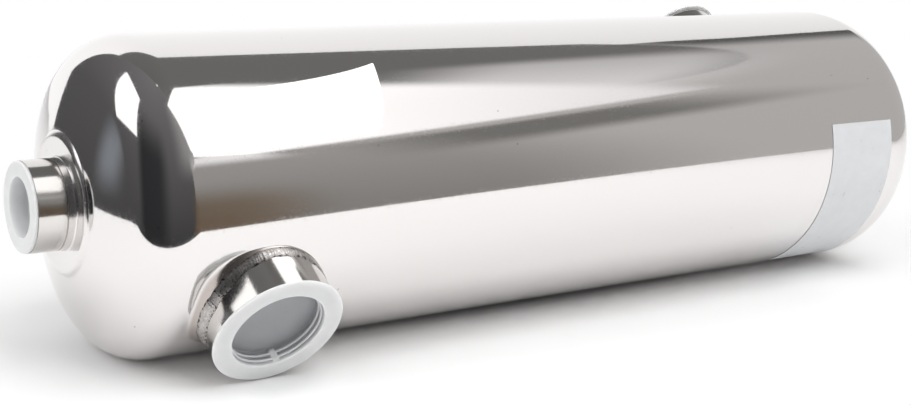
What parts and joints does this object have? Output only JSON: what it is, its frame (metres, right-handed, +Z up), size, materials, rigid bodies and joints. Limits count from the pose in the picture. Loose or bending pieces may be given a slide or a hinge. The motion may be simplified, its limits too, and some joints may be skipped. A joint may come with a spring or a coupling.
{
  "type": "shell and tube heat exchanger",
  "caption": "Lying stainless shell and tube heat exchanger: polished barrel with dished ends, axial sockets for the tube side, opposed side sockets for the shell side, all plugged.",
  "frame": {"origin": "on the floor under the middle of the barrel", "axes": "+X along the barrel towards the right end, +Z up, so the front side port looks towards -Y"},
  "size_m": [0.5118, 0.1768, 0.14],
  "materials": {
    "polished_stainless": "mirror polished",
    "socket_stainless": "turned and polished",
    "ground_weld": "ground seam weld",
    "weld_bead": "as welded, lightly heat tinted",
    "plug_plastic": "translucent moulded polyethylene",
    "tube_stainless": "drawn tube",
    "plate_stainless": "plain plate"
  },
  "bodies": {
    "root": {"shell_barrel": "polished_stainless", "left_head": "polished_stainless", "right_head": "polished_stainless", "left_end_socket": "socket_stainless", "left_side_socket": "socket_stainless", "right_end_socket": "socket_stainless", "right_side_socket": "socket_stainless", "left_end_weld": "ground_weld", "right_end_weld": "ground_weld", "left_side_weld": "weld_bead", "right_side_weld": "weld_bead", "left_end_plug": "plug_plastic", "left_side_plug": "plug_plastic", "right_end_plug": "plug_plastic", "right_side_plug": "plug_plastic", "tube_row_1": "tube_stainless", "tube_row_2": "tube_stainless", "tube_row_3": "tube_stainless", "tube_row_4": "tube_stainless", "tube_row_5": "tube_stainless", "tube_row_6": "tube_stainless", "tube_row_7": "tube_stainless", "baffle_1": "plate_stainless", "baffle_2": "plate_stainless", "baffle_3": "plate_stainless", "baffle_4": "plate_stainless", "left_tube_sheet": "plate_stainless", "right_tube_sheet": "plate_stainless", "tie_rod_1": "plate_stainless", "tie_rod_2": "plate_stainless", "tie_rod_3": "plate_stainless", "tie_rod_4": "plate_stainless"}
  },
  "joints": []
}
